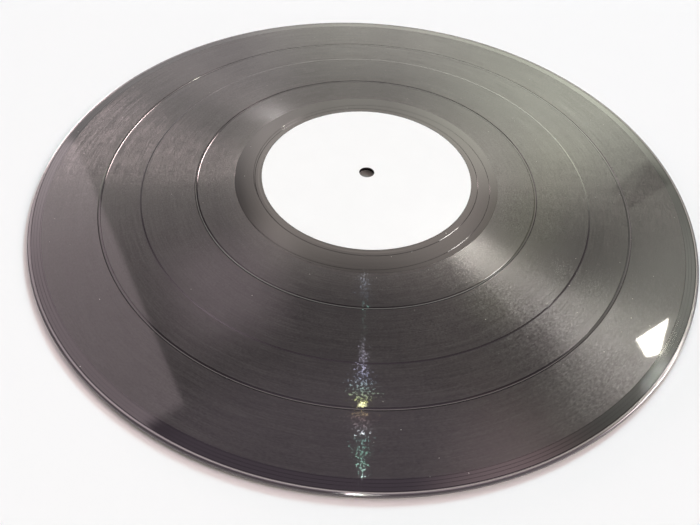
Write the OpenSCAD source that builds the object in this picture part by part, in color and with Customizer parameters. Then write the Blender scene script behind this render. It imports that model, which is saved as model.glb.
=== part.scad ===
// Twelve inch long-playing record, lying with side A up.
// The origin is on the spindle hole's axis, level with the underside, and +Z points out of side A.

/* [Disc] */
// Outer diameter of the vinyl disc
disc_d = 301.6; // [299:0.2:304]
// Thickness of the round bead along the outer edge
bead_t = 1.8; // [1.6:0.1:2]
// Width of the slope that runs from the bead down to the playing area
bead_slope_w = 0.9; // [0.6:0.1:1.4]
// Thickness of the playing area, measured over its lands
playing_t = 1.5; // [1.2:0.1:1.55]
// Diameter of the spindle hole
spindle_hole_d = 7.26; // [7.1:0.02:7.4]

/* [Centre] */
// Thickness of the raised centre, measured over the faces of both labels
centre_t = 2; // [1.9:0.05:2.4]
// Width of the raised rim that surrounds each label
centre_rim_w = 0.9; // [0.6:0.1:1.2]
// Width of the slope from that rim down to the playing area
centre_slope_w = 0.8; // [0.5:0.1:1]

/* [Labels] */
// Diameter of each paper label
label_d = 100; // [98:0.2:100.6]
// Thickness of the paper
label_t = 0.12; // [0.08:0.01:0.2]
// Clearance between a label's edge and the wall of its recess
label_clearance = 0.15; // [0.05:0.05:0.3]

/* [Recorded area] */
// Width of the smooth lead-in, between the foot of the bead's slope and the recorded area
lead_in_w = 3.8; // [3.2:0.1:5]
// Width of the smooth run-out, between the recorded area and the foot of the centre's slope
run_out_w = 10.75; // [9:0.05:14]
// Depth of the recorded bands below the lands
band_depth = 0.03; // [0.02:0.01:0.05]
// Place of the outer gap's middle, as a share of the recorded area's width from its outer edge
outer_gap_share = 0.28; // [0.2:0.01:0.35]
// Place of the middle gap's middle, as a share of the same width
middle_gap_share = 0.493; // [0.42:0.001:0.6]
// Place of the inner gap's middle, as a share of the same width
inner_gap_share = 0.787; // [0.7:0.001:0.85]
// Width of the outer and the inner gap
wide_gap_w = 1.3; // [1.1:0.1:1.6]
// Width of the middle gap
narrow_gap_w = 0.8; // [0.7:0.1:1]

/* [Coarse grooves] */
// Width across the mouth of the lead-in groove, the lead-out groove and those between tracks
groove_w = 0.2; // [0.14:0.02:0.22]
// Width across the mouth of the closed groove, which the lead-out groove runs into
lock_groove_w = 0.26; // [0.25:0.01:0.3]
// Included angle of the grooves' walls
groove_angle = 90; // [84:1:96]
// Distance from the foot of the bead's slope to the start of the lead-in groove
lead_in_start_gap = 0.4; // [0.2:0.1:0.8]
// Number of turns of the lead-in groove
lead_in_turns = 3; // [2:1:4]
// Number of turns of the lead-out groove
lead_out_turns = 1; // [1:1:2]
// Direction, seen from above side A, in which the lead-out groove starts
lead_out_direction = 207; // [0:1:359]
// Distance from the foot of the centre's slope to the closed groove in which the stylus ends
lock_groove_gap = 1.33; // [1:0.01:2]

/* [Hidden] */
$fn = 180;

disc_r = disc_d / 2;
hole_r = spindle_hole_d / 2;
label_r = label_d / 2;
recess_r = label_r + label_clearance;
centre_rim_r = recess_r + centre_rim_w;
centre_foot_r = centre_rim_r + centre_slope_w;

// Heights are measured from the middle plane, which both sides share.
middle_z = centre_t / 2;
centre_h = centre_t / 2;
recess_h = centre_h - label_t;
playing_h = playing_t / 2;
bead_h = bead_t / 2;

// The bead's cross-section is a full circle, and the slope beside it ends inside that circle.
bead_r = disc_r - bead_h;
slope_top_r = bead_r - bead_h / 3;
slope_foot_r = bead_r - bead_slope_w;
slope_top_h = (playing_h + bead_h) / 2;

// The recorded area fills what the lead-in and the run-out leave of the playing area.
recorded_outer_r = slope_foot_r - lead_in_w;
recorded_inner_r = centre_foot_r + run_out_w;
recorded_w = recorded_outer_r - recorded_inner_r;

lead_in_start_r = slope_foot_r - lead_in_start_gap;
lock_groove_r = centre_foot_r + lock_groove_gap;

// A groove's walls slope alike, so its depth follows its width.
function groove_depth(width) = width / 2 / tan(groove_angle / 2);

// Each gap is written as its middle radius and its width.
track_gaps = [
    [recorded_outer_r - outer_gap_share * recorded_w, wide_gap_w],
    [recorded_outer_r - middle_gap_share * recorded_w, narrow_gap_w],
    [recorded_outer_r - inner_gap_share * recorded_w, wide_gap_w]
];

// Outline of the disc's cross-section on side A, as radius and height, from the hole to the bead.
side_outline = [
    [hole_r, recess_h],
    [recess_r, recess_h],
    [recess_r, centre_h],
    [centre_rim_r, centre_h],
    [centre_foot_r, playing_h],
    [slope_foot_r, playing_h],
    [slope_top_r, slope_top_h],
    [bead_r, slope_top_h]
];

// Side B has the same outline, mirrored in the middle plane.
module disc_section() {
    last = len(side_outline) - 1;
    polygon([
        for (point = side_outline) point,
        for (i = [last : -1 : 0]) [side_outline[i][0], -side_outline[i][1]]
    ]);
}

module blank_disc() {
    rotate_extrude() disc_section();
    rotate_extrude() translate([bead_r, 0]) circle(r = bead_h);
}

// Ring that lowers one recorded band on side A.
module band_cut(inner_r, outer_r) {
    rotate_extrude()
        translate([inner_r, playing_h - band_depth])
            square([outer_r - inner_r, 2 * band_depth]);
}

// The tracks fill the recorded area, apart from the gaps between them.
module recorded_bands() {
    gap_count = len(track_gaps);
    for (i = [0 : gap_count]) {
        outer_r = i == 0 ? recorded_outer_r : track_gaps[i - 1][0] - track_gaps[i - 1][1] / 2;
        inner_r = i == gap_count ? recorded_inner_r : track_gaps[i][0] + track_gaps[i][1] / 2;
        band_cut(inner_r, outer_r);
    }
}

// The cutter's mouth stands half its depth above the land, so that no face of it lies in the land.
module groove_section(width) {
    mouth_w = 1.5 * width;
    polygon([
        [0, playing_h - groove_depth(width)],
        [mouth_w / 2, playing_h + groove_depth(mouth_w - width)],
        [-mouth_w / 2, playing_h + groove_depth(mouth_w - width)]
    ]);
}

// Part of one turn of groove about an axis that is moved along X.
module groove_arc(width, radius, axis_x, start, sweep) {
    translate([axis_x, 0, 0])
        rotate([0, 0, start])
            rotate_extrude(angle = sweep)
                translate([radius, 0]) groove_section(width);
}

// Groove that winds inward as it turns anticlockwise. It is made of half turns about two axes a
// quarter of the pitch to either side of the middle, so each half turn runs on smoothly into the next.
module spiral_groove(outer_r, inner_r, turns, direction = 0) {
    pitch = (outer_r - inner_r) / turns;
    rotate([0, 0, direction])
        for (half = [0 : 2 * turns - 1])
            groove_arc(
                groove_w,
                outer_r - pitch / 4 - half * pitch / 2,
                half % 2 == 0 ? pitch / 4 : -pitch / 4,
                half % 2 * 180,
                180
            );
}

module side_grooves() {
    recorded_bands();
    spiral_groove(lead_in_start_r, recorded_outer_r, lead_in_turns);
    for (gap = track_gaps)
        spiral_groove(gap[0] + gap[1] / 2, gap[0] - gap[1] / 2, 1);
    spiral_groove(recorded_inner_r, lock_groove_r, lead_out_turns, lead_out_direction);
    groove_arc(lock_groove_w, lock_groove_r, 0, 0, 360);
}

module disc() {
    color([0.09, 0.085, 0.085])
        translate([0, 0, middle_z])
            difference() {
                blank_disc();
                side_grooves();
                rotate([180, 0, 0]) side_grooves();
            }
}

module label() {
    difference() {
        cylinder(h = label_t, r = label_r);
        translate([0, 0, -label_t]) cylinder(h = 3 * label_t, r = hole_r);
    }
}

module label_side_a() {
    color([0.96, 0.96, 0.95])
        translate([0, 0, centre_t - label_t]) label();
}

module label_side_b() {
    color([0.96, 0.96, 0.95]) label();
}

disc();
label_side_a();
label_side_b();
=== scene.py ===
"""Twelve inch long-playing record with plain white labels, lying with side A up on a pale floor.

Lengths in this script are written in millimetres, as in the part's source, and become metres in
the meshes. Angles are in degrees, anticlockwise from +X, seen from above side A.
"""

import math

import bmesh
import bpy
import numpy as np
from mathutils import Matrix, Vector


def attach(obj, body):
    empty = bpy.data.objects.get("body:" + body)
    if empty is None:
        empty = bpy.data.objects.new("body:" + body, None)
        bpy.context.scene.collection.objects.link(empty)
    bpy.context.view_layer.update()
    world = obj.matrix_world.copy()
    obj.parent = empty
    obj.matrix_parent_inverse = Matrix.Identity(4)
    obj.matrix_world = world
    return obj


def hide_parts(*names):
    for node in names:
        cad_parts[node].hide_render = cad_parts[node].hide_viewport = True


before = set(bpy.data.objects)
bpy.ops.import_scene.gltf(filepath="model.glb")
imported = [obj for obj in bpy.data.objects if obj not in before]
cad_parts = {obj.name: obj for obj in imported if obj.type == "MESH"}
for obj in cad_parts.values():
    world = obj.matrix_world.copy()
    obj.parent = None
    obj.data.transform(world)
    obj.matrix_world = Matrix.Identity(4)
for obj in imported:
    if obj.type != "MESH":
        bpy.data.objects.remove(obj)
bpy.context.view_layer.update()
MM = 0.001

# Driving sizes, as in the part's source
DISC_R = 150.8
HOLE_R = 3.63
LABEL_R = 50.0
LABEL_T = 0.12
LABEL_CLEARANCE = 0.15
CENTRE_H = 1.0
CENTRE_RIM_W = 0.9
CENTRE_SLOPE_W = 0.8
PLAYING_H = 0.75
BAND_DEPTH = 0.03
BEAD_H = 0.9
BEAD_SLOPE_W = 0.9
LEAD_IN_W = 3.8
LEAD_IN_START_GAP = 0.4
LEAD_IN_TURNS = 3
RUN_OUT_W = 10.75
LEAD_OUT_DIRECTION = 207.0
LEAD_OUT_GROOVE_W = 0.2
LOCK_GROOVE_W = 0.26
LOCK_GROOVE_GAP = 1.33

# The bead lies this much further in than in the part's source, so that it stays in the part's box
BEAD_INSET = 0.02
# The part's source cuts these two grooves wider
LEAD_IN_GROOVE_W = 0.1
GAP_GROOVE_W = 0.1
# Middle radius and width of each gap. The part's source has the middle gap 0.8 wide
GAP_PLACES = ((122.07, 1.3), (104.48, 0.6), (80.19, 1.3))
# Shares of each gap's width, from the inner edge out, and how far the normal leans outward there.
# They started from a fit to the photo's brightness and were then rounded and changed
GAP_PROFILES = (
    ((0.10, 0.8), (0.48, 0.0), (0.16, -0.2), (0.26, -0.8)),
    (),
    ((0.12, 0.8), (0.38, 0.0), (0.24, -0.3), (0.26, -0.8)),
)

RECESS_R = LABEL_R + LABEL_CLEARANCE
RIM_R = RECESS_R + CENTRE_RIM_W
CENTRE_FOOT_R = RIM_R + CENTRE_SLOPE_W
LOCK_GROOVE_R = CENTRE_FOOT_R + LOCK_GROOVE_GAP
RECORDED_INNER_R = CENTRE_FOOT_R + RUN_OUT_W
SLOPE_FOOT_R = DISC_R - BEAD_H - BEAD_SLOPE_W
RECORDED_OUTER_R = SLOPE_FOOT_R - LEAD_IN_W
LEAD_IN_START_R = SLOPE_FOOT_R - LEAD_IN_START_GAP
BEAD_R = DISC_R - BEAD_H - BEAD_INSET
BAND_H = PLAYING_H - BAND_DEPTH
LAND_Z = CENTRE_H + PLAYING_H

# Colours
VINYL = (0.0108, 0.0088, 0.0102)
DUST = (0.30, 0.29, 0.27)
PAPER = (0.878, 0.881, 0.872)
FLOOR = (0.883, 0.883, 0.883)
FELT_DARK = (0.06, 0.057, 0.055)
FELT_PALE = (0.42, 0.41, 0.38)

# Columns round a ring, the distances within which points and edges are joined, and the angle
# beyond which an edge is shaded as sharp
COLUMNS = 480
JOIN_WITHIN = 0.0002
DISSOLVE_BELOW = 0.0001
SHARP_ANGLE = 15.0


def make_camera():
    """Camera at the photograph's place, solved from the label's and the disc's outlines."""
    elevation = math.radians(49.432)
    roll = math.radians(3.526)
    aim = Vector((-5.343, -55.960, 0.0)) * MM
    distance = 230.763
    focal_length = 28.419
    back = Vector((0.0, -math.cos(elevation), math.sin(elevation)))
    right = Vector((1.0, 0.0, 0.0))
    up = back.cross(right)
    rolled_right = math.cos(roll) * right + math.sin(roll) * up
    rolled_up = -math.sin(roll) * right + math.cos(roll) * up
    data = bpy.data.cameras.new("camera")
    data.sensor_width = 36.0
    data.lens = focal_length
    data.clip_start = 10.0 * MM
    data.clip_end = 20000.0 * MM
    camera = bpy.data.objects.new("camera", data)
    bpy.context.scene.collection.objects.link(camera)
    turn = Matrix((rolled_right, rolled_up, back)).transposed()
    camera.matrix_world = Matrix.Translation(aim + back * distance * MM) @ turn.to_4x4()
    bpy.context.scene.camera = camera


make_camera()


# Shapes


def smooth(t):
    """Goes from 0 to 1 with level ends, and stays there beyond them."""
    t = np.clip(t, 0.0, 1.0)
    return t * t * (3.0 - 2.0 * t)


class RingMesh:
    """Mesh of strips of rings round the Z axis, whose shared edges are joined at the end.

    Its map for baking has the direction across and the way along the cross-section up."""

    def __init__(self, map_place, map_low, map_high):
        self.map_place = map_place
        self.map_low = map_low
        self.map_high = map_high
        self.points = []
        self.quads = []
        self.slots = []
        self.maps = []

    def strip(self, rings, start=0.0, slot=0):
        """Adds a strip. Each ring is its radius and its height, as one number or as one for each
        column of the turn that begins at the start direction."""
        first = len(self.points)
        shares = start / 360.0 + np.arange(COLUMNS + 1) / COLUMNS
        places = []
        for ring in rings:
            radius, height = (np.broadcast_to(value, COLUMNS + 1) for value in ring)
            x = radius * np.cos(math.tau * shares)
            y = radius * np.sin(math.tau * shares)
            self.points.extend(np.stack([x, y, height], 1))
            share = [self.map_place(float(r), float(h)) for r, h in zip(radius, height)]
            places.append(self.map_low + (self.map_high - self.map_low) * np.array(share))
        width = COLUMNS + 1
        for row in range(len(rings) - 1):
            low, high = places[row], places[row + 1]
            for column in range(COLUMNS):
                corner = first + row * width + column
                left = shares[column] % 1.0
                right = left + 1.0 / COLUMNS
                self.quads.append((corner, corner + width, corner + width + 1, corner + 1))
                self.maps += [
                    (left, low[column]),
                    (left, high[column]),
                    (right, high[column + 1]),
                    (right, low[column + 1]),
                ]
                self.slots.append(slot)

    def turned_over(self):
        """The same strips, turned over about the X axis."""
        other = RingMesh(self.map_place, self.map_low, self.map_high)
        other.points = [np.array([x, -y, -z]) for x, y, z in self.points]
        other.quads = list(self.quads)
        other.slots = list(self.slots)
        other.maps = [(across, 1.0 - up) for across, up in self.maps]
        return other


def ring_piece(name, parts, lift, materials):
    """Object made of several ring meshes, lifted to its height."""
    points, quads, slots, maps = [], [], [], []
    for part in parts:
        quads += [tuple(i + len(points) for i in quad) for quad in part.quads]
        points += [(p + np.array([0.0, 0.0, lift])) * MM for p in part.points]
        slots += part.slots
        maps += part.maps
    mesh = bpy.data.meshes.new(name)
    mesh.from_pydata(points, [], quads)
    for material in materials:
        mesh.materials.append(material)
    mesh.polygons.foreach_set("material_index", slots)
    mesh.uv_layers.new(name="OFBake").data.foreach_set("uv", np.ravel(maps))
    edit = bmesh.new()
    edit.from_mesh(mesh)
    bmesh.ops.remove_doubles(edit, verts=edit.verts, dist=JOIN_WITHIN * MM)
    bmesh.ops.dissolve_degenerate(edit, edges=edit.edges, dist=DISSOLVE_BELOW * MM)
    bmesh.ops.recalc_face_normals(edit, faces=edit.faces)
    edit.to_mesh(mesh)
    edit.free()
    mesh.shade_smooth()
    mesh.set_sharp_from_angle(angle=math.radians(SHARP_ANGLE))
    piece = bpy.data.objects.new(name, mesh)
    bpy.context.scene.collection.objects.link(piece)
    weighted = piece.modifiers.new("weighted_normals", "WEIGHTED_NORMAL")
    weighted.keep_sharp = True
    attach(piece, "root")
    return piece


def spiral_rings(outer_r, inner_r, turns, groove_w):
    """Rings of a smooth zone with a groove that winds inward through it, from its inner circle out.

    The groove's mouth opens after its start and closes before its end, so that both ends of a
    turn's columns meet."""
    share = np.arange(COLUMNS + 1) / COLUMNS
    pitch = (outer_r - inner_r) / turns
    rings = [(inner_r, PLAYING_H)]
    for turn in reversed(range(turns)):
        gone = turn + share
        open_part = smooth(gone / 0.04) * smooth((turns - gone) / 0.04)
        half = 0.5 * groove_w * open_part
        middle = outer_r - pitch * gone
        low = np.maximum(middle - half, inner_r)
        high = np.minimum(middle + half, outer_r)
        rings += [(low, PLAYING_H), (middle, PLAYING_H - half), (high, PLAYING_H)]
    rings.append((outer_r, PLAYING_H))
    return rings


def arc_points(centre, radius, first, last, count):
    """Points of an arc of the cross-section, as radius and height."""
    return [
        (centre[0] + radius * math.cos(math.radians(a)), centre[1] + radius * math.sin(math.radians(a)))
        for a in np.linspace(first, last, count)
    ]


def disc_map_place(radius, height):
    """Share of the way from the middle of the hole's wall over one side to the middle of the bead."""
    wall_end, crown = 0.01, 0.985
    if radius <= HOLE_R:
        return wall_end * abs(height) / CENTRE_H
    if radius <= BEAD_R:
        return wall_end + (crown - wall_end) * (radius - HOLE_R) / (BEAD_R - HOLE_R)
    turned = 1.0 - math.atan2(abs(height), radius - BEAD_R) / (math.pi / 2)
    return crown + (1.0 - crown) * turned


def side_strips():
    """One side of the disc, from the middle of the hole's wall to the middle of the bead."""
    side = RingMesh(disc_map_place, 0.5, 0.004)
    recess_h = CENTRE_H - LABEL_T
    edge = 0.05
    centre = [(HOLE_R, 0.0), (HOLE_R, recess_h), (RECESS_R - 0.02, recess_h)]
    centre += arc_points((RECESS_R + edge, CENTRE_H - edge), edge, 180.0, 90.0, 4)
    centre += [(RIM_R, CENTRE_H), (CENTRE_FOOT_R, PLAYING_H)]
    half = 0.5 * LOCK_GROOVE_W
    centre += [
        (LOCK_GROOVE_R - half, PLAYING_H),
        (LOCK_GROOVE_R, PLAYING_H - half),
        (LOCK_GROOVE_R + half, PLAYING_H),
    ]
    side.strip(centre)
    side.strip(
        spiral_rings(RECORDED_INNER_R, LOCK_GROOVE_R + half, 1, LEAD_OUT_GROOVE_W),
        LEAD_OUT_DIRECTION,
    )
    step = 0.03
    edges = [RECORDED_OUTER_R]
    for middle, width in GAP_PLACES:
        edges += [middle + width / 2, middle - width / 2]
        side.strip(spiral_rings(middle + width / 2, middle - width / 2, 1, GAP_GROOVE_W))
    edges.append(RECORDED_INNER_R)
    for outer_r, inner_r in zip(edges[0::2], edges[1::2]):
        side.strip([(inner_r, PLAYING_H), (inner_r + step, BAND_H)])
        side.strip([(inner_r + step, BAND_H), (outer_r - step, BAND_H)], slot=1)
        side.strip([(outer_r - step, BAND_H), (outer_r, PLAYING_H)])
    side.strip(
        spiral_rings(LEAD_IN_START_R, RECORDED_OUTER_R, LEAD_IN_TURNS, LEAD_IN_GROOVE_W)
    )
    bead = arc_points((BEAD_R, 0.0), BEAD_H, 112.0, 0.0, 17)
    top = bead[0]
    slope = [
        (
            SLOPE_FOOT_R + t * (top[0] - SLOPE_FOOT_R),
            PLAYING_H + (top[1] - PLAYING_H) * float(t * t * (1.6 - 0.6 * t)),
        )
        for t in np.linspace(0.0, 1.0, 7)
    ]
    side.strip([(LEAD_IN_START_R, PLAYING_H)] + slope[:-1] + bead)
    return side


# Materials


class Nodes:
    """Short ways to add and link the nodes of one tree."""

    def __init__(self, tree):
        self.tree = tree

    def add(self, kind, inputs=(), **settings):
        node = self.tree.nodes.new("ShaderNode" + kind)
        for key, value in settings.items():
            setattr(node, key, value)
        for key, value in dict(inputs).items():
            self.feed(node.inputs[key], value)
        return node

    def feed(self, socket, value):
        if isinstance(value, bpy.types.NodeSocket):
            self.tree.links.new(value, socket)
        elif value is not None:
            socket.default_value = value

    def math(self, operation, *values):
        node = self.add("Math", operation=operation)
        for socket, value in zip(node.inputs, values):
            self.feed(socket, value)
        return node.outputs[0]

    def vector(self, operation, *values):
        node = self.add("VectorMath", operation=operation)
        for socket, value in zip(node.inputs, values):
            self.feed(socket, value)
        return node.outputs["Value" if operation in ("LENGTH", "DOT_PRODUCT") else "Vector"]

    def scaled(self, vector, amount):
        node = self.add("VectorMath", operation="SCALE")
        self.feed(node.inputs[0], vector)
        self.feed(node.inputs["Scale"], amount)
        return node.outputs[0]

    def ramp(self, value, low, high, start=0.0, end=1.0):
        """Goes smoothly from start to end while the value goes from low to high."""
        node = self.add(
            "MapRange",
            {"Value": value, "From Min": low, "From Max": high, "To Min": start, "To Max": end},
            interpolation_type="SMOOTHSTEP",
        )
        return node.outputs["Result"]

    def noise(self, vector, scale, detail=2.0, roughness=0.5):
        inputs = {"Vector": vector, "Scale": scale, "Detail": detail, "Roughness": roughness}
        return self.add("TexNoise", inputs).outputs["Fac"]


def principled(name, base, roughness, **constants):
    material = bpy.data.materials.new(name)
    material.use_nodes = True
    shader = material.node_tree.nodes["Principled BSDF"]
    shader.inputs["Base Color"].default_value = (*base, 1.0)
    shader.inputs["Roughness"].default_value = roughness
    for key, value in constants.items():
        shader.inputs[key.replace("_", " ")].default_value = value
    return material


def set_shader(material, **sockets):
    """Feeds the material's shader."""
    nodes = Nodes(material.node_tree)
    shader = material.node_tree.nodes["Principled BSDF"]
    for key, value in sockets.items():
        nodes.feed(shader.inputs[key.replace("_", " ")], value)


class DiscField:
    """Where a point of the disc lies: its radius and the ways outward and along the groove."""

    def __init__(self, nodes):
        self.nodes = nodes
        self.place = nodes.add("TexCoord").outputs["Object"]
        level = nodes.vector("MULTIPLY", self.place, (1.0, 1.0, 0.0))
        self.radius = nodes.math("DIVIDE", nodes.vector("LENGTH", level), MM)
        self.outward = nodes.vector("NORMALIZE", level)
        self.along = nodes.vector("CROSS_PRODUCT", (0.0, 0.0, 1.0), self.outward)
        self.height = nodes.add("SeparateXYZ", {"Vector": self.place}).outputs["Z"]

    def noise(self, per_mm, per_turn, shift, detail=2.0):
        """Noise that varies so often across the grooves and so often along them, from -1 to 1."""
        nodes = self.nodes
        across = nodes.math("MULTIPLY_ADD", self.radius, per_mm, shift)
        sides_apart = 5000.0
        sided = nodes.math("MULTIPLY_ADD", self.height, sides_apart, across)
        rise = nodes.add("CombineXYZ", {"Z": sided}).outputs[0]
        where = nodes.vector("ADD", nodes.scaled(self.outward, per_turn), rise)
        return nodes.math("MULTIPLY_ADD", nodes.noise(where, 1.0, detail), 2.0, -1.0)

    def tilted(self, outward_slope, along_slope=None):
        """The surface's normal, leaned outward and along the groove by these slopes."""
        nodes = self.nodes
        normal = nodes.add("NewGeometry").outputs["Normal"]
        leaned = nodes.vector("ADD", normal, nodes.scaled(self.outward, outward_slope))
        if along_slope is not None:
            leaned = nodes.vector("ADD", leaned, nodes.scaled(self.along, along_slope))
        return nodes.vector("NORMALIZE", leaned)

    def dust(self):
        """1 on a few specks of dust, thicker in some places, and else 0."""
        nodes = self.nodes
        cells_per_metre, speck_size, scarcity = 330.0, 0.055, 1.36
        cells = nodes.add("TexVoronoi", {"Vector": self.place, "Scale": cells_per_metre})
        near = nodes.math("LESS_THAN", cells.outputs["Distance"], speck_size)
        pick = nodes.add("SeparateXYZ", {"Vector": cells.outputs["Color"]}).outputs["X"]
        crowd = nodes.noise(self.place, 14.0)
        chosen = nodes.math("GREATER_THAN", nodes.math("ADD", pick, crowd), scarcity)
        return nodes.math("MULTIPLY", near, chosen)


def vinyl_colour(field, shade, wear_and_painted_light=0.0):
    """Near-black vinyl, shaded a little at random and made paler by the given amount, which is partly
    wear and partly painted light, with the dust on it.
    """
    nodes = field.nodes
    level = nodes.math("MULTIPLY_ADD", shade, 0.25, 1.0)
    # The paler share is partly wear and partly painted light: a painted highlight on the rim and
    # painted reflections in the gaps
    plain = nodes.scaled(VINYL, nodes.math("MULTIPLY_ADD", wear_and_painted_light, 5.5, level))
    mixed = nodes.add("Mix", data_type="RGBA")
    nodes.feed(mixed.inputs["Factor"], field.dust())
    nodes.feed(mixed.inputs["A"], plain)
    nodes.feed(mixed.inputs["B"], (*DUST, 1.0))
    return mixed.outputs["Result"]


def gap_lean(field, middle, width, profile):
    """Outward slope across a gap between tracks, which is a shallow channel.

    The profile lists shares of the width, from the inner edge out, with the slope of each."""
    nodes = field.nodes
    lean = 0.0
    edge = middle - width / 2
    for share, slope in profile:
        half = share * width / 2
        part = nodes.math("COMPARE", field.radius, edge + half, half)
        lean = nodes.math("MULTIPLY_ADD", part, slope, lean)
        edge += 2.0 * half
    return lean


def make_smooth_vinyl():
    material = principled("smooth_vinyl", VINYL, 0.12, IOR=1.54, Coat_Roughness=0.1, Coat_IOR=1.9)
    nodes = Nodes(material.node_tree)
    field = DiscField(nodes)
    slope = nodes.math("MULTIPLY", field.noise(1.3, 2.0, 3.0), 0.004)
    beside_rim = nodes.math("COMPARE", field.radius, (RIM_R + CENTRE_FOOT_R) / 2, 0.4)
    slope = nodes.math("MULTIPLY_ADD", beside_rim, -0.3125, slope)
    beside_bead = nodes.math("COMPARE", field.radius, SLOPE_FOOT_R + 0.27, 0.3)
    slope = nodes.math("MULTIPLY_ADD", beside_bead, 0.22, slope)
    in_gap = 0.0
    for (middle, width), profile in zip(GAP_PLACES, GAP_PROFILES):
        slope = nodes.math("ADD", slope, gap_lean(field, middle, width, profile))
        inside = nodes.math("COMPARE", field.radius, middle, width / 2)
        in_gap = nodes.math("MAXIMUM", inside, in_gap)
    # The middle gap gets more coat and a paler colour. The paler colour is a painted reflection that
    # makes it a light line
    middle, width = GAP_PLACES[1]
    middle_gap_gloss_and_painted_light = nodes.math("COMPARE", field.radius, middle, width / 2)
    # Towards the bead the vinyl is rougher, has more coat and is paler: partly wear, partly a painted
    # highlight on the rim
    wear_and_painted_light = nodes.ramp(field.radius, SLOPE_FOOT_R, SLOPE_FOOT_R + 0.6)
    scuffs = field.noise(0.9, 3.0, 11.0, 4.0)
    wear_and_painted_light = nodes.math("MULTIPLY", wear_and_painted_light, nodes.math("MULTIPLY_ADD", scuffs, 0.6, 1.0))
    # Painted light: the gaps are made paler, the middle one more, to soften their dark reflections and
    # to make the middle one a light line
    paler = nodes.math("MULTIPLY_ADD", in_gap, 0.15, wear_and_painted_light)
    paler = nodes.math("MULTIPLY_ADD", middle_gap_gloss_and_painted_light, 0.28, paler)
    rough = nodes.math("MULTIPLY_ADD", scuffs, 0.02, 0.055)
    set_shader(
        material,
        Base_Color=vinyl_colour(field, field.noise(0.6, 1.0, 40.0), paler),
        Roughness=nodes.math("MULTIPLY_ADD", wear_and_painted_light, 0.28, rough),
        Coat_Weight=nodes.math("MULTIPLY_ADD", middle_gap_gloss_and_painted_light, 0.2, nodes.math("MULTIPLY", wear_and_painted_light, 0.8)),
        Normal=field.tilted(slope),
    )
    return material


def make_recorded_vinyl():
    material = principled(
        "recorded_vinyl",
        VINYL,
        0.40,
        IOR=1.54,
        Anisotropic=1.0,
        Anisotropic_Rotation=0.25,
        Coat_Weight=0.5,
        Coat_Roughness=0.035,
    )
    nodes = Nodes(material.node_tree)
    field = DiscField(nodes)
    loud = field.noise(1.1, 1.2, 20.0, 4.0)
    rings = field.noise(1.7, 5.0, 55.0, 3.0)
    grain = field.noise(1.9, 115.0, 31.0, 2.0)
    grain_along = field.noise(1.9, 115.0, 83.0, 2.0)
    streaks = field.noise(0.05, 30.0, 70.0, 3.0)
    waves = field.noise(0.45, 12.0, 90.0, 1.0)
    specks = nodes.ramp(field.noise(2.0, 130.0, 12.0, 1.0), 0.22, 0.42)
    inner = nodes.ramp(field.radius, RECORDED_INNER_R, 76.0, -0.03, 0.0)
    rough = nodes.math("MULTIPLY_ADD", loud, 0.05, 0.385)
    rough = nodes.math("ADD", nodes.math("MULTIPLY_ADD", rings, 0.05, rough), inner)
    rough = nodes.math("MULTIPLY_ADD", specks, 0.08, rough)
    outward = nodes.math("MULTIPLY_ADD", rings, 0.22, nodes.math("MULTIPLY", grain, 0.25))
    outward = nodes.math("MULTIPLY_ADD", waves, 0.12, outward)
    rough_cut = nodes.ramp(field.radius, 70.0, 120.0, 0.24, 0.13)
    along = nodes.math("MULTIPLY", grain_along, rough_cut)
    along = nodes.math("MULTIPLY_ADD", streaks, 0.035, along)
    set_shader(
        material,
        Base_Color=vinyl_colour(field, loud),
        Roughness=rough,
        Coat_Weight=nodes.math("MULTIPLY_ADD", rings, 0.25, 0.5),
        Normal=field.tilted(outward, along),
    )
    return material


def make_label_paper():
    material = principled("label_paper", PAPER, 0.8)
    nodes = Nodes(material.node_tree)
    place = nodes.add("TexCoord").outputs["Object"]
    cloud = nodes.noise(place, 90.0, 4.0)
    fibres = nodes.noise(nodes.vector("MULTIPLY", place, (1.0, 2.6, 1.0)), 2600.0, 3.0, 0.6)
    shade = nodes.math("MULTIPLY_ADD", cloud, 0.03, 0.97)
    shade = nodes.math("MULTIPLY_ADD", fibres, 0.03, shade)
    bump = nodes.add("Bump", {"Height": fibres, "Strength": 0.25, "Distance": 0.02 * MM})
    set_shader(
        material,
        Base_Color=nodes.scaled(PAPER, shade),
        Roughness=nodes.math("MULTIPLY_ADD", fibres, 0.12, 0.74),
        Normal=bump.outputs[0],
    )
    return material


smooth_vinyl = make_smooth_vinyl()
recorded_vinyl = make_recorded_vinyl()
label_paper = make_label_paper()


# Pieces


def make_label(name, node, below):
    """Paper disc with softly pressed edges. Its face is up, or down where it lies below."""
    low, high = CENTRE_H - LABEL_T, CENTRE_H
    soft = 0.03
    inner_r = HOLE_R + 0.02
    outline = [(inner_r, low)]
    outline += arc_points((inner_r + soft, high - soft), soft, 180.0, 90.0, 4)
    outline += [(radius, high) for radius in (6.0, 12.0, 20.0, 30.0, 40.0, 48.0)]
    outline += arc_points((LABEL_R - soft, high - soft), soft, 90.0, 0.0, 4)
    outline += [(LABEL_R, low), (inner_r, low)]
    lengths = np.cumsum([0.0] + [math.dist(a, b) for a, b in zip(outline, outline[1:])])
    shares = {}

    def key(radius, height):
        return round(radius, 6), round(height, 6)

    def map_place(radius, height):
        return shares[key(radius, height)]

    for point, length in zip(outline[:-1], lengths):
        shares[key(*point)] = length / lengths[-1]
    face = RingMesh(map_place, 0.0, 1.0)
    face.strip(outline[:-1])
    # The outline's last point is its first one again
    shares[key(*outline[0])] = 1.0
    back = RingMesh(map_place, 0.0, 1.0)
    back.strip(outline[-2:])
    parts = [face, back]
    if below:
        parts = [part.turned_over() for part in parts]
    piece = ring_piece(name, parts, CENTRE_H, [label_paper])
    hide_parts(node)


side = side_strips()
disc = ring_piece(
    "vinyl_disc", [side, side.turned_over()], CENTRE_H, [smooth_vinyl, recorded_vinyl]
)
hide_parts("disc")
make_label("paper_label_a", "label_side_a", below=False)
make_label("paper_label_b", "label_side_b", below=True)


# Floor and light


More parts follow.
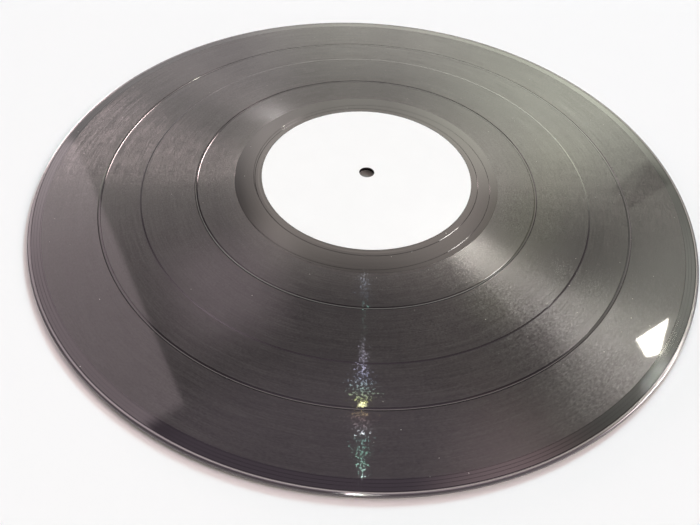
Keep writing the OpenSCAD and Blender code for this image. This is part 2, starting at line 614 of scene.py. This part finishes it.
def make_floor():
    """Pale floor, with a dark felt spot that only shows through the hole."""
    reach = 5000.0 * MM
    felt_r = 30.0 * MM
    corners = [(x * reach, y * reach, 0.0) for x, y in ((-1, -1), (1, -1), (1, 1), (-1, 1))]
    mesh = bpy.data.meshes.new("floor")
    mesh.from_pydata(corners, [], [(0, 1, 2, 3)])
    floor = bpy.data.objects.new("floor", mesh)
    bpy.context.scene.collection.objects.link(floor)
    material = principled("floor", FLOOR, 0.95)
    mesh.materials.append(material)
    nodes = Nodes(material.node_tree)
    place = nodes.add("TexCoord").outputs["Object"]
    weave = nodes.noise(place, 2400.0, 2.0)
    felt = nodes.add("Mix", {"Factor": weave}, data_type="RGBA")
    nodes.feed(felt.inputs["A"], (*FELT_DARK, 1.0))
    nodes.feed(felt.inputs["B"], (*FELT_PALE, 1.0))
    inside = nodes.math("LESS_THAN", nodes.vector("LENGTH", place), felt_r)
    colour = nodes.add("Mix", {"Factor": inside}, data_type="RGBA")
    nodes.feed(colour.inputs["A"], (*FLOOR, 1.0))
    nodes.feed(colour.inputs["B"], felt.outputs["Result"])
    set_shader(material, Base_Color=colour.outputs["Result"])
    shader = material.node_tree.nodes["Principled BSDF"]
    shader.inputs["Specular IOR Level"].default_value = 0.0


make_floor()

# Soft panels of the studio: from and to, in degrees to the left of straight away from the camera,
# lowest and highest elevation, softness across and up, and colour times strength. The first
# twelve rows were printed by a fit to the photo, made outside this script, and three of these
# were then changed. The last two rows are no part of that fit.
PANELS = (
    (-101.5, -79.9, 14.2, 42.4, 9.3, 9.2, (12.42, 10.47, 10.34)),
    (-33.1, -11.6, 24.9, 36.2, 17.8, 11.4, (5.81, 5.93, 4.96)),
    (-27.5, -20.0, 33.2, 51.8, 7.0, 3.8, (1.20, 1.20, 0.80)),
    (-11.8, 8.3, 20.9, 32.5, 14.3, 14.7, (3.83, 3.75, 3.35)),
    (-19.2, 14.1, 35.2, 49.7, 9.0, 9.3, (3.19, 2.84, 2.58)),
    (7.9, 44.3, 20.6, 37.4, 9.4, 16.0, (2.06, 1.93, 1.91)),
    (12.0, 27.2, 46.9, 55.6, 11.7, 6.4, (2.38, 1.88, 2.08)),
    (32.8, 55.7, 33.8, 60.8, 0.9, 1.4, (2.80, 2.28, 2.42)),
    (33.1, 49.6, -20.0, 10.6, 6.4, 11.0, (32.40, 25.19, 25.14)),
    (-53.0, -30.4, 58.3, 72.7, 23.0, 9.3, (2.26, 1.62, 1.56)),
    (-50.9, -37.0, 33.2, 53.2, 9.7, 19.1, (2.71, 2.74, 2.40)),
    (-70.2, 66.6, 61.0, 130.0, 20.2, 8.0, (0.86, 0.68, 0.84)),
    (100.0, 260.0, -5.0, 52.0, 20.0, 20.0, (0.36, 0.34, 0.34)),
    (-260.0, -100.0, -5.0, 52.0, 20.0, 20.0, (0.36, 0.34, 0.34)),
)

# Dark cards before the panels: corners as turn and rise, and the share of the light that is kept
CARDS = (
    (((-32.8, 32.6), (-35.9, 33.6), (-33.6, 37.2), (-31.0, 36.0)), 0.65),
    (((-33.1, 32.6), (-35.9, 33.6), (-33.6, 37.2), (-33.1, 36.4)), 0.6),
)


def card_shade(nodes, turn, rise, corners, kept):
    """The kept share inside the card and 1 outside it. Its corners go round clockwise."""
    mask = None
    for (turn_a, rise_a), (turn_b, rise_b) in zip(corners, corners[1:] + corners[:1]):
        length = math.hypot(turn_b - turn_a, rise_b - rise_a)
        across = ((rise_b - rise_a) / length, (turn_a - turn_b) / length)
        start = -(across[0] * turn_a + across[1] * rise_a)
        depth = nodes.math("MULTIPLY_ADD", turn, across[0], start)
        depth = nodes.math("MULTIPLY_ADD", rise, across[1], depth)
        inside = nodes.ramp(depth, -0.15, 0.15)
        mask = inside if mask is None else nodes.math("MULTIPLY", mask, inside)
    return nodes.math("MULTIPLY_ADD", mask, kept - 1.0, 1.0)


def make_world():
    world = bpy.data.worlds.new("studio")
    world.use_nodes = True
    bpy.context.scene.world = world
    nodes = Nodes(world.node_tree)
    direction = nodes.add("TexCoord").outputs["Generated"]
    parts = nodes.add("SeparateXYZ", {"Vector": direction}).outputs
    leftward = nodes.math("MULTIPLY", parts["X"], -1.0)
    turn = nodes.math("DEGREES", nodes.math("ARCTAN2", leftward, parts["Y"]))
    rise = nodes.math("DEGREES", nodes.math("ARCSINE", parts["Z"]))
    light = None
    for first, last, low, high, soft, soft_up, colour in PANELS:
        masks = [
            nodes.ramp(turn, first - soft / 2, first + soft / 2),
            nodes.ramp(turn, last - soft / 2, last + soft / 2, 1.0, 0.0),
            nodes.ramp(rise, low - soft_up / 2, low + soft_up / 2),
            nodes.ramp(rise, high - soft_up / 2, high + soft_up / 2, 1.0, 0.0),
        ]
        mask = masks[0]
        for other in masks[1:]:
            mask = nodes.math("MULTIPLY", mask, other)
        light = nodes.vector("MULTIPLY_ADD", colour, mask, light or (0.0, 0.0, 0.0))
    for corners, kept in CARDS:
        light = nodes.vector("MULTIPLY", light, card_shade(nodes, turn, rise, corners, kept))
    background = world.node_tree.nodes["Background"]
    nodes.feed(background.inputs["Color"], light)
    white = nodes.add("Background", {"Color": (1.0, 1.0, 1.0, 1.0)}).outputs[0]
    seen = nodes.add("LightPath").outputs["Is Camera Ray"]
    shown = nodes.add("MixShader", {"Fac": seen})
    nodes.feed(shown.inputs[1], background.outputs[0])
    nodes.feed(shown.inputs[2], white)
    nodes.feed(world.node_tree.nodes["World Output"].inputs["Surface"], shown.outputs[0])


make_world()


# Worked out outside this script, from camera rays through points of the photo mirrored in the disc
LAMP_PANEL = ((262.2, 83.5, 250.3), (285.0, 93.7, 228.5), (278.4, 68.9, 249.1), (269.6, 68.5, 255.3))


def make_lamp_panel():
    """Small bright panel, whose mirror image stands near the rim. It isn't seen by the camera."""
    colour, strength = (1.0, 0.97, 0.83, 1.0), 130.0
    mesh = bpy.data.meshes.new("lamp_panel")
    mesh.from_pydata([Vector(corner) * MM for corner in LAMP_PANEL], [], [(0, 1, 2, 3)])
    panel = bpy.data.objects.new("lamp_panel", mesh)
    bpy.context.scene.collection.objects.link(panel)
    panel.visible_camera = False
    panel.visible_diffuse = False
    material = bpy.data.materials.new("lamp_panel")
    material.use_nodes = True
    nodes = Nodes(material.node_tree)
    glow = nodes.add("Emission", {"Color": colour, "Strength": strength})
    output = material.node_tree.nodes["Material Output"]
    nodes.feed(output.inputs["Surface"], glow.outputs[0])
    mesh.materials.append(material)


make_lamp_panel()


def land_point(radius, direction):
    """Point on the lands of side A, in millimetres."""
    angle = math.radians(direction)
    return Vector((radius * math.cos(angle), radius * math.sin(angle), LAND_Z))


def make_spot(name, place, radius, direction, across, size, power):
    """Spot lamp aimed at a point of the disc, whose X axis runs along the groove there."""
    angle = math.radians(direction)
    back = Vector(place) - land_point(radius, direction)
    distance = back.length
    back.normalize()
    groove = Vector((-math.sin(angle), math.cos(angle), 0.0))
    side = (groove - groove.dot(back) * back).normalized()
    data = bpy.data.lights.new(name, "SPOT")
    data.energy = power
    data.shadow_soft_size = size * MM
    data.spot_size = 2.0 * math.atan(across / distance)
    lamp = bpy.data.objects.new(name, data)
    bpy.context.scene.collection.objects.link(lamp)
    turn = Matrix((side, back.cross(side), back)).transposed().to_4x4()
    lamp.matrix_world = Matrix.Translation(Vector(place) * MM) @ turn
    lamp.visible_camera = False
    lamp.visible_diffuse = False
    return lamp


BESIDE_CAMERA = (5.0, -206.0, 178.0)
# Of the first four places, the one that two of them share comes from a fit to where the photo's
# glints lie, and the others from camera rays mirrored in the disc. The places of the first four
# were worked out outside this script.
GLINTS = (
    ((229.6, 63.5, 271.8), (57.0, 313.6), 24.0, 28.0, 10.0, 6.6, (1.0, 0.94, 0.84)),
    ((264.7, 46.9, 247.9), (104.0, 316.5), 30.0, 30.0, 10.0, 0.42, (1.0, 0.97, 0.88)),
    ((147.9, 112.4, 274.7), (63.5, 139.5), 11.0, 12.0, 10.0, 9.0, (1.0, 0.97, 0.97)),
    ((264.7, 46.9, 247.9), (150.4, 324.0), 38.0, 2.4, 6.0, 5.0, (1.00, 0.97, 0.92)),
    (BESIDE_CAMERA, (53.4, 270.9), 0.9, 1.0, 0.2, 12.0, (1.00, 0.97, 0.92)),
    (BESIDE_CAMERA, (60.0, 270.9), 0.8, 1.0, 0.2, 12.0, (1.00, 0.97, 0.92)),
    (BESIDE_CAMERA, (121.0, 270.9), 0.6, 0.5, 0.2, 8.0, (1.00, 1.00, 0.55)),
    (BESIDE_CAMERA, (150.3, 270.9), 8.0, 1.2, 0.5, 1.2, (1.00, 0.97, 0.92)),
)


def make_glint_lamps():
    """Spot lamps for the glints on the grooves. They add no light to matt surfaces.

    Each is its place, the middle of its pool on the disc as radius and direction, the pool's half
    length along the groove and its half width across it, the lamp's radius, power and colour."""
    for number, glint in enumerate(GLINTS):
        place, (radius, direction), along, across, size, power, colour = glint
        lamp = make_spot("glint_%02d" % number, place, radius, direction, across, size, power)
        lamp.data.color = colour
        lamp.data.spot_blend = 1.0
        lamp.matrix_world = lamp.matrix_world @ Matrix.Diagonal((along / across, 1.0, 1.0, 1.0))


make_glint_lamps()

# A speckled streak of colours, which stands for the light that fine grooves split. The vinyl splits
# no light here: one lamp carries the colours as a pattern, and the streak runs outward in this
# direction. Each row is a radius, the half width there, power and colour.
STREAK_DIRECTION = 270.9
STREAK = (
    (61.0, 1.5, 0.0, (1.00, 1.00, 1.00)),
    (63.5, 3.2, 3.5, (0.85, 0.90, 1.00)),
    (67.0, 3.4, 2.0, (0.70, 0.80, 1.00)),
    (74.0, 4.0, 0.5, (0.55, 0.70, 1.00)),
    (79.3, 2.5, 0.7, (0.50, 1.00, 0.85)),
    (80.2, 1.6, 5.0, (0.50, 1.00, 0.85)),
    (81.2, 1.5, 0.3, (0.50, 1.00, 0.85)),
    (93.0, 1.5, 0.2, (0.70, 1.00, 0.80)),
    (99.0, 1.6, 2.6, (0.85, 0.82, 1.00)),
    (104.0, 2.4, 3.2, (0.75, 0.72, 1.00)),
    (110.0, 4.5, 1.6, (0.60, 0.68, 1.00)),
    (115.0, 6.5, 1.3, (0.66, 1.00, 0.85)),
    (118.5, 5.5, 1.4, (0.85, 1.00, 0.45)),
    (120.6, 2.2, 3.4, (1.00, 1.00, 0.30)),
    (122.8, 2.6, 1.6, (1.00, 0.75, 0.30)),
    (125.0, 6.0, 0.5, (1.00, 0.65, 0.60)),
    (129.3, 5.0, 0.6, (0.90, 0.80, 0.90)),
    (130.6, 2.2, 4.5, (0.85, 0.95, 1.00)),
    (132.0, 3.4, 0.7, (0.50, 1.00, 0.90)),
    (138.0, 3.4, 0.9, (0.45, 1.00, 0.75)),
    (142.0, 2.4, 1.6, (0.50, 1.00, 0.80)),
    (144.6, 1.3, 3.0, (0.70, 1.00, 0.90)),
    (146.5, 1.2, 5.0, (1.00, 1.00, 1.00)),
    (149.5, 1.5, 4.0, (1.00, 0.95, 0.90)),
)


def make_streak_lamp():
    """Small lamp beside the camera that draws the coloured streak on the grooves."""
    middle_r, reach, size, power = 100.0, 56.0, 0.2, 1.0
    soft_edge, faint_glow = 1.2, 0.05
    grain_scale, thinning = 250.0, -0.13
    grain_low, grain_high, grain_glow = 0.50, 0.56, 2.2
    lamp = make_spot("streak_lamp", BESIDE_CAMERA, middle_r, STREAK_DIRECTION, reach, size, power)
    to_lamp = lamp.matrix_world.inverted()
    rises, widths = [], []
    for radius, half_width, _, _ in STREAK:
        seen = to_lamp @ (land_point(radius, STREAK_DIRECTION) * MM)
        rises.append(seen.y / -seen.z)
        widths.append(half_width * MM / -seen.z)
    lamp.data.use_nodes = True
    tree = lamp.data.node_tree
    nodes = Nodes(tree)
    direction = nodes.add("TexCoord").outputs["Normal"]
    parts = nodes.add("SeparateXYZ", {"Vector": direction}).outputs
    turn = nodes.math("DIVIDE", parts["X"], parts["Z"])
    rise = nodes.math("DIVIDE", parts["Y"], parts["Z"])
    span = rises[-1] - rises[0]
    share = nodes.math("MULTIPLY_ADD", rise, -1.0 / span, -rises[0] / span)
    rows = nodes.add("ValToRGB", {"Fac": share})
    stops = rows.color_ramp.elements
    for place in rises[1:-1]:
        stops.new((place - rises[0]) / span)
    widest = max(widths)
    for stop, width, (_, _, row_power, colour) in zip(stops, widths, STREAK):
        stop.color = (*(row_power * part for part in colour), width / widest)
    half = nodes.math("MULTIPLY", rows.outputs["Alpha"], widest)
    off = nodes.math("DIVIDE", nodes.math("ABSOLUTE", turn), half)
    mask = nodes.ramp(off, 0.0, soft_edge, 1.0, 0.0)
    where = nodes.add("CombineXYZ", {"X": turn, "Y": rise}).outputs[0]
    grains = nodes.math("MULTIPLY_ADD", off, thinning, nodes.noise(where, grain_scale, 1.0))
    specks = nodes.ramp(grains, grain_low, grain_high, 0.0, grain_glow)
    glow = tree.nodes["Emission"]
    nodes.feed(glow.inputs["Color"], rows.outputs["Color"])
    nodes.feed(glow.inputs["Strength"], nodes.math("MULTIPLY_ADD", mask, faint_glow, specks))


make_streak_lamp()


def make_disc_lamp(name, place, target, diameter, power, colour):
    """Round area lamp that the camera doesn't see."""
    data = bpy.data.lights.new(name, "AREA")
    data.shape = "DISK"
    data.size = diameter * MM
    data.energy = power
    data.color = colour
    lamp = bpy.data.objects.new(name, data)
    bpy.context.scene.collection.objects.link(lamp)
    back = (Vector(place) - Vector(target)).normalized()
    lamp.location = Vector(place) * MM
    lamp.rotation_euler = back.to_track_quat("Z", "Y").to_euler()
    lamp.visible_camera = False
    return lamp


def make_side_lamp():
    """Lamp at the right, low down, that draws the arcs on the closed groove's walls."""
    place, target = (316.0, -67.5, 111.6), (38.2, -39.6, LAND_Z)
    lamp = make_disc_lamp("side_lamp", place, target, 110.0, 0.045, (1.0, 0.97, 0.92))
    lamp.data.spread = math.radians(36.0)
    lamp.visible_diffuse = False


def make_fill(name, place, diameter, power, colour):
    """Large lamp that lights matt surfaces only."""
    lamp = make_disc_lamp(name, place, (0.0, 0.0, 0.0), diameter, power, colour)
    lamp.visible_glossy = False


make_side_lamp()
make_fill("fill_front", (0.0, -2500.0, 4330.0), 5000.0, 27.0, (1.0, 0.88, 0.70))
make_fill("fill_window", (5550.0, 11880.0, 7260.0), 2700.0, 1143.0, (0.414, 0.88, 1.0))

bpy.context.scene.view_settings.view_transform = "Standard"
